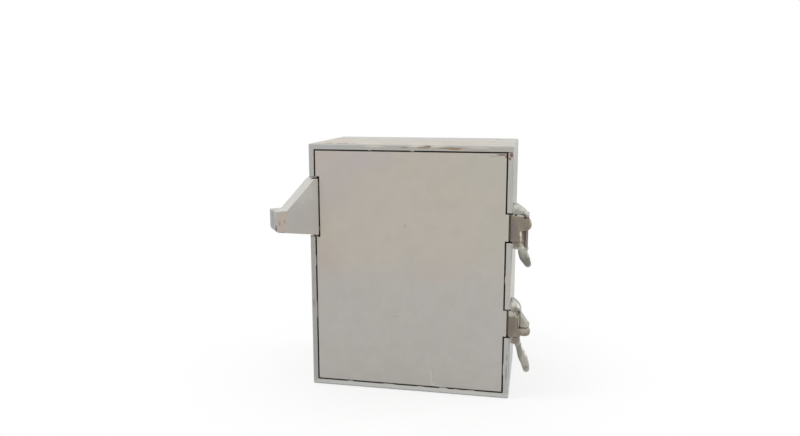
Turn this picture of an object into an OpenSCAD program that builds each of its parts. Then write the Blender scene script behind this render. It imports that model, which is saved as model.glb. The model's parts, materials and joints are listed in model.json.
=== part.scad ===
// Tabernacle box: a case of welded steel plates with an inset door, two outside pin hinges
// and a wrap-round lever latch. The origin is the middle of the underside, the front faces -Y,
// and the hinges are on the +X side. Millimetres.

/* [Case] */
// Width over the side plates
case_w = 300; // [270:1:340]
// Height over the top and bottom plates
case_h = 372; // [355:1:430]
// Depth from the front face to the back face
case_d = 184; // [150:1:240]
// Thickness of the top, bottom and side plates
plate_t = 8; // [7:0.5:10]
// Thickness of the back plate
back_t = 6; // [4:0.5:9]
// Rounding of the outer edges
edge_r = 3; // [1:0.5:5]
// Side of the square bars that the door closes against
stop_w = 10; // [8:1:14]
// Hole for a wall bolt in the back plate
wall_bolt_d = 7; // [5:0.5:10]
// Wall bolts, distance across
wall_bolt_x = 200; // [120:5:220]
// Wall bolts, distance up
wall_bolt_z = 260; // [160:5:280]

/* [Door] */
// Gap all round between the door and the case
door_gap = 2.2; // [1.8:0.1:2.8]
// Thickness of the front skin
skin_t = 3; // [2:0.25:4]
// Depth of the bars behind the skin
bar_t = 15; // [13:0.5:18]
// Width of the bars behind the skin
bar_w = 34; // [30:1:44]
// Thickness of the inner panel
panel_t = 2; // [1:0.25:3]
// Free play between the closed door and its stop bars
stop_play = 0.5; // [0.3:0.1:1]
// Screws along each long side of the inner panel
panel_screws_up = 4; // [2:1:6]

/* [Hinges] */
// Height of the middle of the upper hinge
upper_z = 256; // [245:1:270]
// Height of the middle of the lower hinge
lower_z = 115; // [105:1:130]
// Height of the door's tab at each hinge
tab_h = 39; // [36:0.5:42]
// Reach of the tab past the door's edge
tab_reach = 5; // [3:0.25:6]
// Pin axis, distance outside the case
pin_out = 19.4; // [18:0.2:21]
// Pin axis, distance behind the front face
pin_back = 9; // [8:0.1:9.4]
// Diameter of a hinge pin
pin_d = 5; // [4:0.25:5.5]
// Radius of the turned knuckle at its widest
knuckle_r = 7; // [6.6:0.1:7.6]
// Thickness of the hinge plates that are screwed down
hinge_plate_t = 5; // [4:0.25:6]
// Thickness of the washer above a knuckle
washer_t = 2; // [1:0.25:2.5]

/* [Latch] */
// Bottom of the opening for the lever in the door's edge and the case
latch_low = 232.8; // [230:0.2:238]
// Height of that opening
latch_h = 91; // [86:0.5:100]
// Depth of the cut in the door's edge
latch_cut = 5.6; // [4.5:0.1:7]
// Angle of the released lever to the front face
lever_flare = 34.5; // [30:0.5:40]
// Turn of the lever from released to latched
lever_throw = 18; // [14:1:18]
// Thickness of the lever
lever_t = 36; // [32:0.5:38]
// Length of the lever's front face
lever_len = 65; // [58:0.5:72]
// Height of the lever at its root
lever_root_h = 84; // [80:0.2:85]
// Height of the grip at the lever's free end
grip_h = 31; // [26:0.5:36]
// Diameter of the lever's pin
lever_pin_d = 5; // [4:0.25:6]
// Height of the latch tooth
tooth_h = 24; // [16:1:30]

/* [Screws] */
// Diameter of the screws' shanks
screw_d = 4; // [3:0.25:5]

/* [Hidden] */
$fn = 48;
fit = 0.02;                               // radial clearance of a pin or screw that is held fast
run = 0.05;                               // radial clearance of a pin that turns
seat = 0.1;                               // clearance of a plate in its recess
play = 0.3;                               // end play of a turning piece
past = 1;                                 // how far a cutting body runs past the surface it cuts

fy = -case_d / 2;                         // front face
in_x = case_w / 2 - plate_t;              // inner face of a side plate
door_x = in_x - door_gap;                 // side edge of the door
door_z0 = plate_t + door_gap;
door_z1 = case_h - plate_t - door_gap;
bar_y0 = fy + skin_t;
bar_y1 = bar_y0 + bar_t;
stop_y = bar_y1 + stop_play;
panel_x = in_x - stop_w - door_gap;
panel_z0 = plate_t + stop_w + door_gap;
panel_z1 = case_h - panel_z0;

wall_x = case_w / 2;                      // outer face of a side plate
pin_x = wall_x + pin_out;
pin_y = fy + pin_back;
leaf_set_back = 0.6;                      // a leaf lies just behind the front face
leaf_y0 = fy + leaf_set_back;
leaf_y1 = pin_y + knuckle_r;
notch_gap = 0.8;                          // a leaf or the lever to the back of its notch
notch_y = leaf_y1 + notch_gap;
upper_nose_wall = 0.9;                    // the upper casting's nose round the pin
lower_nose_wall = 5.7;                    // the lower casting's broad nose
upper_nose_r = pin_d / 2 + upper_nose_wall;
lower_nose_r = pin_d / 2 + lower_nose_wall;
knuckle_step = 1;                         // the lower knuckle stands out past its nose
wide_knuckle_r = lower_nose_r + knuckle_step;
web_gap = 1;                              // the castings' web passes behind both knuckles
web_y0 = pin_y + wide_knuckle_r + web_gap;
web_t = 5;
leaf_len = 32;                            // length of the leaf's plate behind the skin
leaf_x0 = door_x + tab_reach + door_gap;  // where the leaf comes up to the front face
lug_gap = 0.3;                            // leaf to lug, up and down

latch_top = latch_low + latch_h;
cut_x = door_x - latch_cut;               // edge of the door beside the lever
barrel_wall = 3.2;                        // metal round the lever's pin
barrel_gap = 2.6;                         // barrel to the cut in the door's edge
barrel_back = 0.5;                        // the barrel's flat back, behind its round
lever_step = 1.5;                         // lever pin axis, in front of the hinge pins
lever_y = pin_y - lever_step;
barrel_r = lever_pin_d / 2 + barrel_wall;
lever_x = -(cut_x + barrel_gap + barrel_r);
latch_notch_y = lever_y + barrel_r + barrel_back + notch_gap;
lever_low_gap = 3.3;                      // lever to the bottom of its opening
lever_z0 = latch_low + lever_low_gap;
lever_z1 = lever_z0 + lever_root_h;
ear_t = 5.5;
ear_step = 0.5;                           // the ears are this much less round than the barrel
ear_r = barrel_r - ear_step;
ear_cap = 5.5;                            // the barrel's caps above and below the ears
ear_z0 = lever_z0 + ear_cap + play;
ear_z1 = lever_z1 - ear_cap - play - ear_t;
pocket_gap = 0.5;                         // an ear to the front of its pocket
relief_y = lever_y - ear_r - pocket_gap;
tooth_z = (lever_z0 + lever_z1) / 2;
slot_bridge = 7;                          // metal between the lever's opening and the slot
slot_y0 = latch_notch_y + slot_bridge;
slot_len = 12.5;
slot_margin = 2;                          // tooth to the slot's top and bottom
screw_r = screw_d / 2;
head_r = 1.9 * screw_r;
head_t = 1.1 * screw_r;

cream = [0.78, 0.765, 0.735];
door_cream = [0.72, 0.70, 0.665];
iron = [0.50, 0.46, 0.38];
steel = [0.55, 0.55, 0.55];

// ---------- helpers ----------

// a box between two corners
module block(a, b) { translate(a) cube(b - a); }

// a rectangle with round corners, centred
module round_rect(w, h, r) {
    square([w - 2 * r, h], center = true);
    square([w, h - 2 * r], center = true);
    for (x = [-1, 1], y = [-1, 1]) translate([x * (w / 2 - r), y * (h / 2 - r)]) circle(r);
}

// extrudes a drawing in X and Z from y0 back to y1
module from_front(y0, y1) {
    translate([0, y1, 0]) rotate([90, 0, 0]) linear_extrude(y1 - y0) children();
}

// a round bar along Y from y0 to y1
module bar_y(x, z, r, y0, y1) {
    translate([x, y1, z]) rotate([90, 0, 0]) cylinder(r = r, h = y1 - y0);
}

// a countersunk screw along Y, its head at y1, its point at y0
module screw_y(x, z, y0, y1) {
    bar_y(x, z, screw_r, y0, y1 - head_t);
    translate([x, y1, z]) rotate([90, 0, 0]) cylinder(r1 = head_r, r2 = screw_r, h = head_t);
}

// ---------- case ----------

// the outer form of the case with every edge rounded
module case_form() {
    intersection() {
        linear_extrude(case_h) round_rect(case_w, case_d, edge_r);
        translate([0, 0, case_h / 2]) from_front(fy, -fy) round_rect(case_w, case_h, edge_r);
        translate([-wall_x, 0, case_h / 2]) rotate([90, 0, 90]) linear_extrude(case_w)
            round_rect(case_d, case_h, edge_r);
    }
}

module case_top() {
    color(cream) intersection() {
        case_form();
        block([-wall_x, fy, case_h - plate_t], [wall_x, -fy, case_h]);
    }
}

module case_bottom() {
    color(cream) intersection() {
        case_form();
        block([-wall_x, fy, 0], [wall_x, -fy, plate_t]);
    }
}

// the latch side behind the lever's opening, with a slot for the tooth
module case_left() {
    color(cream) difference() {
        intersection() {
            case_form();
            block([-wall_x, latch_notch_y, plate_t], [-in_x, -fy, case_h - plate_t]);
        }
        block([-wall_x - past, slot_y0, tooth_z - tooth_h / 2 - slot_margin],
              [-in_x + past, slot_y0 + slot_len, tooth_z + tooth_h / 2 + slot_margin]);
    }
}

// a bar of the latch side's front edge, above or below the lever's opening
module case_jamb(z0, z1) {
    color(cream) intersection() {
        case_form();
        block([-wall_x, fy, z0], [-in_x, latch_notch_y, z1]);
    }
}

// the hinge side: a notch at the front for each leaf, and holes for the bracket screws
module case_right() {
    color(cream) difference() {
        intersection() {
            case_form();
            block([in_x, fy, plate_t], [wall_x, -fy, case_h - plate_t]);
        }
        for (z = [upper_z, lower_z]) {
            block([in_x - past, fy - past, z - tab_h / 2 - door_gap],
                  [wall_x + past, notch_y, z + tab_h / 2 + door_gap]);
            bracket_screw_places(z) cylinder(r = screw_r + fit, h = bracket_screw_len);
        }
    }
}

module case_back() {
    color(cream) difference() {
        block([-in_x, -fy - back_t, plate_t], [in_x, -fy, case_h - plate_t]);
        for (x = [-1, 1], z = [-1, 1])
            bar_y(x * wall_bolt_x / 2, case_h / 2 + z * wall_bolt_z / 2, wall_bolt_d / 2,
                  -fy - back_t - past, -fy + past);
    }
}

module stop_bar_across(z) {
    color(cream) block([-in_x, stop_y, z], [in_x, stop_y + stop_w, z + stop_w]);
}

module stop_bar_up(x) {
    color(cream) block([x, stop_y, plate_t + stop_w],
                       [x + stop_w, stop_y + stop_w, case_h - plate_t - stop_w]);
}

// ---------- door ----------

// the door's outline, with the cut for the lever and the two hinge tabs
module door_outline(tabs) {
    difference() {
        translate([-door_x, door_z0]) square([2 * door_x, door_z1 - door_z0]);
        translate([-door_x - past, latch_low]) square([latch_cut + past, latch_h]);
    }
    if (tabs) for (z = [upper_z, lower_z])
        translate([door_x - past, z - tab_h / 2]) square([tab_reach + past, tab_h]);
}

module door_skin() {
    color(door_cream) from_front(fy, bar_y0) door_outline(true);
}

module door_bars() {
    from_front(bar_y0, bar_y1) door_outline(false);
}

module door_stile_latch() {
    color(cream) difference() {
        intersection() {
            door_bars();
            block([-door_x, bar_y0, door_z0], [-door_x + bar_w, bar_y1, door_z1]);
        }
        block([-cut_x - past, bar_y0 - past, ear_z0 - seat],
              [mount_x1 + seat, bar_y0 + hinge_plate_t + seat, ear_z1 + ear_t + seat]);
        for (p = mount_screw_places) bar_y(p[0], p[1], screw_r + fit, bar_y0, bar_y1 - head_t);
        for (p = mount_screw_places) sink(p[0], p[1]);
        for (p = panel_screw_places) bar_y(p[0], p[1], screw_r + fit, bar_y1 - panel_bite, bar_y1);
    }
}

module door_stile_hinge() {
    color(cream) difference() {
        intersection() {
            door_bars();
            block([door_x - bar_w, bar_y0, door_z0], [door_x, bar_y1, door_z1]);
        }
        for (z = [upper_z, lower_z]) {
            block([door_x - leaf_len - seat, bar_y0 - past, z - tab_h / 2 - seat],
                  [door_x + past, bar_y0 + hinge_plate_t + seat, z + tab_h / 2 + seat]);
            for (p = leaf_screw_places(z)) {
                bar_y(p[0], p[1], screw_r + fit, bar_y0, bar_y1 - head_t);
                sink(p[0], p[1]);
            }
        }
        for (p = panel_screw_places) bar_y(p[0], p[1], screw_r + fit, bar_y1 - panel_bite, bar_y1);
    }
}

// the countersink for a screw head in the back of a door bar
module sink(x, z) {
    translate([x, bar_y1, z]) rotate([90, 0, 0])
        cylinder(r1 = head_r + fit, r2 = screw_r + fit, h = head_t);
}

module door_rail(z0, z1) {
    color(cream) difference() {
        block([-door_x + bar_w, bar_y0, z0], [door_x - bar_w, bar_y1, z1]);
        for (p = panel_screw_places) bar_y(p[0], p[1], screw_r + fit, bar_y1 - panel_bite, bar_y1);
    }
}

panel_bite = 8;                           // depth of a panel screw in its bar
panel_screw_x = door_x - bar_w / 2;
panel_screw_z0 = door_z0 + bar_w / 2;
panel_screw_z1 = door_z1 - bar_w / 2;
panel_screw_step = (panel_screw_z1 - panel_screw_z0) / (panel_screws_up - 1);
panel_screw_places = concat(
    [for (x = [-1, 1], i = [0 : panel_screws_up - 1])
        [x * panel_screw_x, panel_screw_z0 + i * panel_screw_step]],
    [for (z = [panel_screw_z0, panel_screw_z1]) [0, z]]);

module door_inner_panel() {
    color(cream) difference() {
        block([-panel_x, bar_y1, panel_z0], [panel_x, bar_y1 + panel_t, panel_z1]);
        for (p = panel_screw_places)
            bar_y(p[0], p[1], screw_r + fit, bar_y1 - past, bar_y1 + panel_t + past);
    }
}

// round-headed screws, through the panel into the bars
module panel_screws() {
    color(steel) for (p = panel_screw_places) {
        bar_y(p[0], p[1], screw_r, bar_y1 - panel_bite + play, bar_y1 + panel_t);
        translate([p[0], bar_y1 + panel_t, p[1]]) rotate([-90, 0, 0]) round_head(head_r, head_t);
    }
}

// a low round head, its flat face at z = 0
module round_head(r, t) {
    ball = (r * r + t * t) / (2 * t);
    rotate_extrude() intersection() {
        square([r, t]);
        translate([0, t - ball]) circle(ball);
    }
}

// ---------- hinges ----------

bracket_top = 34;                         // a casting's reach above its hinge's middle
bracket_low = 31;                         // and below it
flange_top = 24;                          // the flange behind stops lower
flange_low = 28;
flange_cut = 8;
bracket_y1 = fy + 48;
bracket_screw_y = bracket_y1 - 12;
bracket_screw_z = [-18, 14];
bracket_screw_len = plate_t + hinge_plate_t;
lug_z = tab_h / 2 + lug_gap;              // a leaf's top and bottom, with clearance
upper_nose_z = 15.8;
lower_nose_z = -4;
washer_step = 1.8;                        // the lower washer is less wide than its nose
nose_gap = 0.4;                           // leaf to nose, sideways
lug_set_back = 2;                         // a shoulder's front at the wall, behind the case's

module bracket_screw_places(z) {
    for (dz = bracket_screw_z)
        translate([in_x, bracket_screw_y, z + dz]) rotate([0, 90, 0]) children();
}

// a shoulder seen from above: broad at the wall, round at the pin
module lug_plan(nose_r) {
    translate([pin_x, pin_y]) circle(nose_r);
    polygon([[wall_x, fy + lug_set_back], [pin_x, pin_y - nose_r], [pin_x, pin_y + nose_r],
             [pin_x, web_y0 + web_t], [wall_x, web_y0 + web_t]]);
}

// the nose seen from above: round in front of the pin, square to the web behind it
module nose_plan(nose_r) {
    translate([pin_x, pin_y]) circle(nose_r);
    translate([pin_x - nose_r, pin_y]) square([2 * nose_r, web_y0 + web_t - pin_y]);
}

// a case-side casting without its finger; the outlines are in X and Z from the hinge's middle
module bracket(z, nose_r, shoulder, nose, foot, web) {
    translate([wall_x, 0, z]) {
        intersection() {
            translate([-wall_x, 0, 0]) linear_extrude(bracket_top) lug_plan(nose_r);
            from_front(fy, bracket_y1) polygon(shoulder);
        }
        intersection() {
            translate([-wall_x, 0, -bracket_low]) linear_extrude(bracket_low + lug_z + past)
                nose_plan(nose_r);
            from_front(fy, bracket_y1) polygon(nose);
        }
        intersection() {
            translate([-wall_x, 0, -bracket_top]) linear_extrude(bracket_top) lug_plan(nose_r);
            from_front(fy, bracket_y1) polygon(foot);
        }
        from_front(web_y0, web_y0 + web_t) polygon(web);
        rotate([90, 0, 90]) linear_extrude(hinge_plate_t)
            polygon([[web_y0, -flange_low], [bracket_y1 - flange_cut, -flange_low],
                     [bracket_y1, -flange_low + flange_cut], [bracket_y1, flange_top - flange_cut],
                     [bracket_y1 - flange_cut, flange_top], [web_y0, flange_top]]);
    }
}

module bracket_holes(z) {
    bracket_screw_places(z) {
        cylinder(r = screw_r + fit, h = bracket_screw_len + past);
        translate([0, 0, bracket_screw_len - head_t])
            cylinder(r1 = screw_r + fit, r2 = head_r + fit, h = head_t);
    }
}

// a tapering finger through a chain of [out, up, radius] stations
module finger(z, stations) {
    for (i = [0 : len(stations) - 2]) hull() for (s = [stations[i], stations[i + 1]])
        translate([wall_x + s[0], pin_y, z + s[1]]) sphere(s[2], $fn = 28);
}

module hinge_bracket_upper() {
    n = pin_out;
    r = upper_nose_r;
    color(iron) difference() {
        union() {
            bracket(upper_z, r,
                [[0, lug_z], [n + r, lug_z], [n + r - 0.6, lug_z + 1], [n, lug_z + 2.6],
                 [n - 4.2, 26.4], [n - 9.9, 30.4], [5.2, 33.4], [0, bracket_top]],
                [[n - r, upper_nose_z], [n + r, upper_nose_z], [n + r, lug_z + past],
                 [n - r, lug_z + past]],
                [[0, -lug_z], [n - 9, -lug_z - 0.5], [n - 3.6, -27], [n + r, -27.6], [n + r, -32],
                 [6, -bracket_low], [0, -bracket_low + 2]],
                [[0, -bracket_low + 2], [n, -32], [n + 1, -27], [n + 1, lug_z], [n - 4, lug_z + 5],
                 [8, bracket_top - 4], [0, bracket_top - 2]]);
            finger(upper_z, [[14.6, -35, 6.6], [17.2, -42, 7.2], [22.6, -52.6, 4.8]]);
        }
        translate([pin_x, pin_y, upper_z - pin_foot])
            cylinder(r = pin_d / 2 + fit, h = pin_foot + pin_head);
        bracket_holes(upper_z);
    }
}

pin_foot = 33;                            // the upper pin's ends, from its hinge's middle
pin_head = 21.4;
short_pin_top = 1.6;                      // the lower pin stops in the nose
short_pin_low = -16.5;

module hinge_bracket_lower() {
    n = pin_out;
    r = lower_nose_r;
    color(iron) difference() {
        union() {
            bracket(lower_z, r,
                [[0, lug_z], [15, lug_z], [13.4, 24.4], [9, 30.2], [4.6, 33.6], [0, bracket_top]],
                [[n - r, lower_nose_z], [n + r, lower_nose_z], [n + r - 0.4, lower_nose_z + 1.2],
                 [n + 5.6, -1.2], [n + 0.2, 6.7], [15.1, 14], [15, lug_z + past],
                 [n - r, lug_z + past]],
                [[0, -lug_z], [9, -lug_z - 0.5], [14, -25.6], [14, -29], [6.4, -bracket_low],
                 [0, -bracket_low + 2]],
                [[0, -bracket_low + 2], [12, -bracket_low], [14, -26], [16.6, -16],
                 [n + 4, lower_nose_z], [n + 4, -2], [n, 6], [14.6, 14], [14.4, lug_z],
                 [8, bracket_top - 6], [0, bracket_top - 2]]);
            finger(lower_z, [[10.4, -27.4, 5], [13.4, -38, 4.3], [18.4, -50, 6.5],
                             [22.6, -61, 5.7], [24.5, -69.4, 4.9]]);
        }
        translate([pin_x, pin_y, lower_z + lower_nose_z - past])
            cylinder(r = pin_d / 2 + fit, h = short_pin_top - lower_nose_z + past);
        bracket_holes(lower_z);
    }
}

// a knuckle turned to an outline of [radius, height] points about the pin
module knuckle(z, profile) {
    translate([pin_x, pin_y, z]) rotate_extrude() polygon(concat([[0, profile[0][1]]], profile,
        [[0, profile[len(profile) - 1][1]]]));
}

arm_set_back = 6.5;                       // the arm lies this deep behind the gap beside the tab
arm_y0 = fy + arm_set_back;
leaf_bow = 1.5;                           // a leaf's front is bowed by this much

// a door-side casting: a plate behind the skin, an arm through the notch, a body out to the pin
module leaf(z, body) {
    z0 = z - tab_h / 2;
    block([door_x - leaf_len, bar_y0, z0], [door_x + tab_reach, bar_y0 + hinge_plate_t, z0 + tab_h]);
    block([door_x, arm_y0, z0], [leaf_x0, leaf_y1, z0 + tab_h]);
    intersection() {
        translate([wall_x, 0, z]) from_front(leaf_y0, leaf_y1) polygon(body);
        translate([0, 0, z0]) linear_extrude(tab_h)
            polygon([[leaf_x0 - past, arm_y0], [leaf_x0, arm_y0], [leaf_x0, leaf_y0 + leaf_bow],
                     [leaf_x0 + 3, leaf_y0 + 0.3 * leaf_bow], [leaf_x0 + 7, leaf_y0],
                     [pin_x - 7, leaf_y0 + 0.3 * leaf_bow], [pin_x - 3, leaf_y0 + leaf_bow],
                     [pin_x, pin_y - knuckle_r + leaf_bow], [pin_x, leaf_y1 - 1],
                     [pin_x - 8, leaf_y1], [leaf_x0 - past, leaf_y1]]);
    }
}

leaf_screw_in = [9, 24];                  // screw rows, from the door's edge
leaf_screw_up = 12;
thumb_r = 2.4;                            // the hollow in a leaf's top edge
thumb_x = 4;
thumb_up = 0.6;

function leaf_screw_places(z) = [[door_x - leaf_screw_in[0], z - leaf_screw_up],
    [door_x - leaf_screw_in[0], z + leaf_screw_up], [door_x - leaf_screw_in[1], z]];

// the screw holes, the pin's bore and a thumb hollow in the top edge
module leaf_holes(z) {
    for (p = leaf_screw_places(z)) bar_y(p[0], p[1], screw_r + fit, bar_y0 - past, bar_y1);
    translate([pin_x, pin_y, z - tab_h]) cylinder(r = pin_d / 2 + run, h = 2 * tab_h);
    bar_y(wall_x + thumb_x, z + tab_h / 2 + thumb_up, thumb_r, leaf_y0 - past, leaf_y1 + past);
}

in_edge = leaf_x0 - wall_x - 2 * past;    // a leaf's outline starts beside its arm's end

module hinge_leaf_upper() {
    r = knuckle_r;
    n = pin_out;
    n_r = upper_nose_r + nose_gap;
    top = upper_nose_z - washer_t - play;
    color(iron) difference() {
        union() {
            leaf(upper_z, [[in_edge, -tab_h / 2], [15.2, -tab_h / 2], [12.9, -3], [n, -3],
                [n, top], [n - n_r, top], [n - n_r, tab_h / 2 - 1.5], [n - 9, tab_h / 2],
                [in_edge, tab_h / 2]]);
            knuckle(upper_z, [[0.45 * r, -3], [0.72 * r, -1.3], [0.9 * r, 0.8], [0.98 * r, 3],
                [r, 5], [0.93 * r, 8], [0.8 * r, 10.8], [0.62 * r, top]]);
        }
        leaf_holes(upper_z);
    }
}

module hinge_leaf_lower() {
    r = wide_knuckle_r;
    n = pin_out;
    n_r = lower_nose_r + nose_gap;
    top = lower_nose_z - washer_t - play;
    color(iron) difference() {
        union() {
            leaf(lower_z, [[in_edge, -tab_h / 2], [12.6, -tab_h / 2], [16.7, -15.4], [n, -17.4],
                [n, top], [n - n_r, top], [n - n_r, tab_h / 2], [in_edge, tab_h / 2]]);
            knuckle(lower_z, [[0.71 * r, -17.4], [0.87 * r, -16.8], [0.96 * r, -14.8], [r, -12.4],
                [0.98 * r, -10], [0.91 * r, -7.8], [0.79 * r, top]]);
        }
        leaf_holes(lower_z);
    }
}

module hinge_pin(z0, z1) {
    color(steel) translate([pin_x, pin_y, z0]) cylinder(r = pin_d / 2, h = z1 - z0);
}

// a washer whose top is play / 2 under height z
module hinge_washer(z, r) {
    color(steel) translate([pin_x, pin_y, z - play / 2 - washer_t]) difference() {
        cylinder(r = r, h = washer_t);
        translate([0, 0, -past]) cylinder(r = pin_d / 2 + run, h = washer_t + 2 * past);
    }
}

module bracket_screws() {
    color(steel) for (z = [upper_z, lower_z]) bracket_screw_places(z) {
        translate([0, 0, play]) cylinder(r = screw_r, h = bracket_screw_len - head_t - play);
        translate([0, 0, bracket_screw_len - head_t])
            cylinder(r1 = screw_r, r2 = head_r, h = head_t);
    }
}

module leaf_screws() {
    color(steel) for (z = [upper_z, lower_z], p = leaf_screw_places(z))
        screw_y(p[0], p[1], bar_y0 + play, bar_y1);
}

// ---------- latch ----------

mount_len = 26;                           // reach of the mount's plate along the door's bar
mount_x1 = -cut_x + mount_len;
mount_screw_in = 15;
mount_h = ear_z1 + ear_t - ear_z0;
mount_screw_places = [for (i = [0.2, 0.5, 0.8]) [-cut_x + mount_screw_in, ear_z0 + i * mount_h]];

// a plate let into the door's edge bar, with an ear at each end for the lever's pin
module latch_mount() {
    color(iron) difference() {
        union() {
            block([-cut_x, bar_y0, ear_z0], [mount_x1, bar_y0 + hinge_plate_t, ear_z0 + mount_h]);
            for (z = [ear_z0, ear_z1]) translate([0, 0, z]) linear_extrude(ear_t) {
                translate([lever_x, lever_y]) circle(ear_r);
                translate([lever_x, bar_y0]) square([-cut_x - lever_x, lever_y + ear_r - bar_y0]);
            }
        }
        translate([lever_x, lever_y, ear_z0 - past])
            cylinder(r = lever_pin_d / 2 + fit, h = mount_h + 2 * past);
        for (p = mount_screw_places) bar_y(p[0], p[1], screw_r + fit, bar_y0 - past, bar_y1);
    }
}

module latch_mount_screws() {
    color(steel) for (p = mount_screw_places) screw_y(p[0], p[1], bar_y0 + play, bar_y1);
}

pin_head_rim = 1.6;
pin_head_t = 1.8;
pin_short = 1;                            // the pin stops this far inside the barrel's underside

// the pin drops in from the top of the barrel and hangs on its round head
module latch_pin() {
    color(steel) translate([lever_x, lever_y, lever_z1 + play / 2]) {
        translate([0, 0, pin_short - lever_root_h])
            cylinder(r = lever_pin_d / 2, h = lever_root_h - pin_short);
        round_head(lever_pin_d / 2 + pin_head_rim, pin_head_t);
    }
}

latch_washer_t = 0.8;

module latch_washers() {
    color(steel) for (z = [ear_z0 + ear_t + play / 3, ear_z1 - latch_washer_t - play / 3])
        translate([lever_x, lever_y, z]) difference() {
            cylinder(r = ear_r, h = latch_washer_t);
            translate([0, 0, -past])
                cylinder(r = lever_pin_d / 2 + run, h = latch_washer_t + 2 * past);
        }
}

lever_proud = 2;                          // the lever's front face starts just proud of the door
lever_gap = 1.2;                          // and this far from the cut in the door's edge
face = [-cut_x - lever_gap, fy - lever_proud];
face_dir = [-cos(lever_flare), -sin(lever_flare)];
face_back = [-sin(lever_flare), cos(lever_flare)];

// the side of the lever that lies along the case when it is latched
case_out = [-cos(lever_throw), -sin(lever_throw)];
case_back_dir = [-sin(lever_throw), cos(lever_throw)];
case_clear = 0.5;                         // latched lever to the case
clear_in = wall_x + lever_x + case_clear; // pin axis to that side
axis = [lever_x, lever_y];

// a point w behind the lever's face, s along it
function face_pt(s, w) = face + s * face_dir + w * face_back;
// a point t along the side by the case, in from it
function side_pt(t, in = 0) = axis + (clear_in - in) * case_out + t * case_back_dir;
// how far along that side it comes to a depth w behind the face
function side_at(w) = (w - (side_pt(0) - face) * face_back) / (case_back_dir * face_back);

// the arm seen from above: four straight sides, round at its two outer corners
module arm_plan() {
    r = grip_round;
    turn = [0 : 15 : 90];
    polygon(concat([side_pt(side_at(0))],
        [for (a = turn) face_pt(lever_len - r + r * sin(a), r - r * cos(a))],
        [for (a = turn) face_pt(lever_len - r + r * cos(a), lever_t - r + r * sin(a))],
        [side_pt(side_at(lever_t))]));
}

// the barrel's block seen from above: it fills the corner between the arm and the round
module barrel_plan() {
    back = barrel_r + barrel_back;
    polygon([face, side_pt(side_at(0)), side_pt(back), side_pt(back, clear_in),
             axis + [barrel_r, 0]]);
}

grip_len = 17.5;
grip_round = 3;                           // rounding of the arm's upright outer corners
low_rise = 8.4;                           // rise of the bottom edge, root to grip
corner = 4.5;                             // the grip's lower corner
slope_s = 6;                              // where the slope leaves the top
behind_face = 16;                         // the root's reach past the face's start

// the lever from the front: a tall root, a slope down to the grip, a bottom edge that rises
module lever_front() {
    grip_s = lever_len - grip_len;
    polygon([[-behind_face, 0], [0, 0],
             [lever_len - corner, low_rise * (lever_len - corner) / lever_len],
             [lever_len - 0.35 * corner, low_rise + 0.2 * corner], [lever_len, low_rise + corner],
             [lever_len, low_rise + grip_h], [grip_s, low_rise + grip_h],
             [slope_s, lever_root_h], [-behind_face, lever_root_h]]);
}

// raises a plan to the lever's height and trims it to the front's outline
module lever_form() {
    intersection() {
        translate([0, 0, lever_z0]) linear_extrude(lever_root_h) children();
        translate([face[0], face[1], lever_z0]) rotate([90, 0, 180 + lever_flare])
            translate([0, 0, -lever_t - past]) linear_extrude(2 * lever_t) lever_front();
    }
}

module latch_lever() {
    color(door_cream) lever_form() arm_plan();
}

// a solid barrel with the pin's bore and a pocket for each ear
module latch_barrel() {
    color(door_cream) difference() {
        union() {
            lever_form() barrel_plan();
            translate([lever_x, lever_y, lever_z0]) cylinder(r = barrel_r, h = lever_root_h);
        }
        translate([lever_x, lever_y, lever_z0 - past])
            cylinder(r = lever_pin_d / 2 + run, h = lever_root_h + 2 * past);
        for (z = [[ear_z0 - play, ear_z0 + ear_t + latch_washer_t + play],
                  [ear_z1 - latch_washer_t - play, ear_z1 + ear_t + play]])
            block([lever_x - ear_r - play, relief_y, z[0]], [-cut_x, latch_notch_y, z[1]]);
    }
}

tooth_gap = 0.7;                          // clearance between the released tooth and the case
tooth_in = 0.2;                           // its front, behind the front of the slot
tooth_t = 5.2;                            // thickness of the tooth at its tip
tooth_slant = [2.3, 2.5];                 // the tooth's back leads it into the slot
tooth_root = [3, 0.5];                    // the tooth's weld on the lever's back
tooth_neck = 1;                           // and on the side of the arm

// a tooth on the back of the arm
module latch_tooth() {
    x1 = -wall_x - tooth_gap;
    y0 = slot_y0 + tooth_in;
    root = side_pt(side_at(lever_t));
    color(door_cream) translate([0, 0, tooth_z - tooth_h / 2]) linear_extrude(tooth_h)
        difference() {
            polygon([[x1, y0], [x1, y0 + tooth_t],
                     [x1 - tooth_slant[0], y0 + tooth_t + tooth_slant[1]],
                     root + [-tooth_root[0], tooth_root[1]], root + [-tooth_neck, -past],
                     [root[0] - tooth_neck, y0]]);
            arm_plan();
        }
}

// ---------- parts ----------

case_top();
case_bottom();
case_left();
case_right();
case_back();
case_jamb(latch_top, case_h - plate_t);  // case_jamb_upper
case_jamb(plate_t, latch_low);  // case_jamb_lower
stop_bar_across(case_h - plate_t - stop_w);  // stop_top
stop_bar_across(plate_t);  // stop_bottom
stop_bar_up(-in_x);  // stop_left
stop_bar_up(in_x - stop_w);  // stop_right
door_skin();
door_stile_latch();
door_stile_hinge();
door_rail(door_z1 - bar_w, door_z1);  // door_rail_top
door_rail(door_z0, door_z0 + bar_w);  // door_rail_bottom
door_inner_panel();
panel_screws();
hinge_bracket_upper();
hinge_leaf_upper();
hinge_pin(upper_z - pin_foot, upper_z + pin_head);  // hinge_pin_upper
hinge_washer(upper_z + upper_nose_z, upper_nose_r);  // hinge_washer_upper
hinge_bracket_lower();
hinge_leaf_lower();
hinge_pin(lower_z + short_pin_low, lower_z + short_pin_top);  // hinge_pin_lower
hinge_washer(lower_z + lower_nose_z, lower_nose_r - washer_step);  // hinge_washer_lower
bracket_screws();
leaf_screws();
latch_mount();
latch_mount_screws();
latch_pin();
latch_washers();
latch_lever();
latch_barrel();
latch_tooth();
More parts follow.
